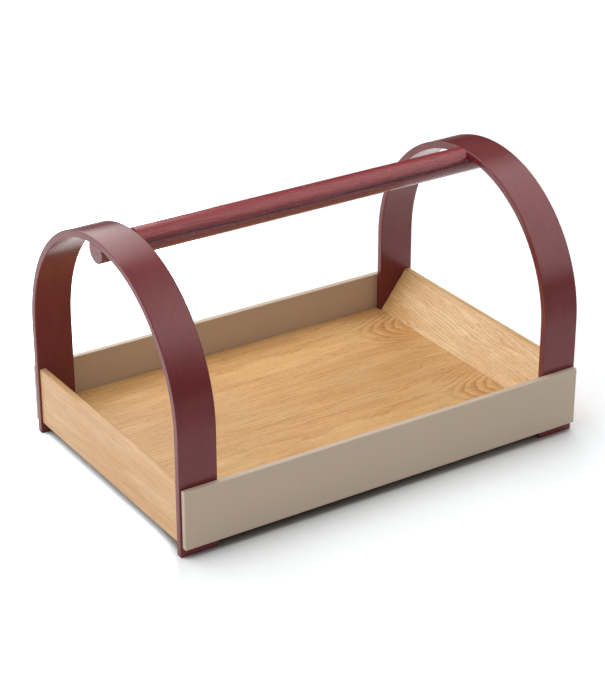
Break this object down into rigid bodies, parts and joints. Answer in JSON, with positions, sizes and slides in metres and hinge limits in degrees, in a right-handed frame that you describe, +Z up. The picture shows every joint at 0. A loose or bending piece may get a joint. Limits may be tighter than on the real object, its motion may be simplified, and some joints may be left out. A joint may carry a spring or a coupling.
{
  "type": "carry tray",
  "caption": "Open oak carry tray with sloping ends and painted side panels, carried by a round handle bar under bent-wood hoops whose legs are its feet.",
  "frame": {"origin": "on the floor under the middle of the tray", "axes": "+X along the handle to the right end, +Y across the tray to the back side panel, +Z up"},
  "size_m": [0.442, 0.2926, 0.258],
  "materials": {
    "hoop_lacquer": "burgundy lacquered moulded plywood, satin",
    "handle_stain": "burgundy stained and lacquered ash, open pored, satin",
    "panel_paint": "taupe painted board, matt",
    "base_oak": "oiled oak, grain along the tray, satin",
    "end_oak": "oiled oak, grain across the tray, satin",
    "screw_steel": "zinc plated"
  },
  "bodies": {
    "root": {"hoop_left": "hoop_lacquer", "hoop_right": "hoop_lacquer", "handle": "handle_stain", "base_board": "base_oak", "end_block_left": "end_oak", "end_block_right": "end_oak", "side_panel_front": "panel_paint", "side_panel_back": "panel_paint", "leg_screw_left_front_upper": "screw_steel", "leg_screw_left_front_lower": "screw_steel", "leg_screw_left_back_upper": "screw_steel", "leg_screw_left_back_lower": "screw_steel", "leg_screw_right_front_upper": "screw_steel", "leg_screw_right_front_lower": "screw_steel", "leg_screw_right_back_upper": "screw_steel", "leg_screw_right_back_lower": "screw_steel", "base_screw_left_1": "screw_steel", "base_screw_left_2": "screw_steel", "base_screw_left_3": "screw_steel", "base_screw_right_1": "screw_steel", "base_screw_right_2": "screw_steel", "base_screw_right_3": "screw_steel", "handle_screw_left": "screw_steel", "handle_screw_right": "screw_steel"}
  },
  "joints": []
}
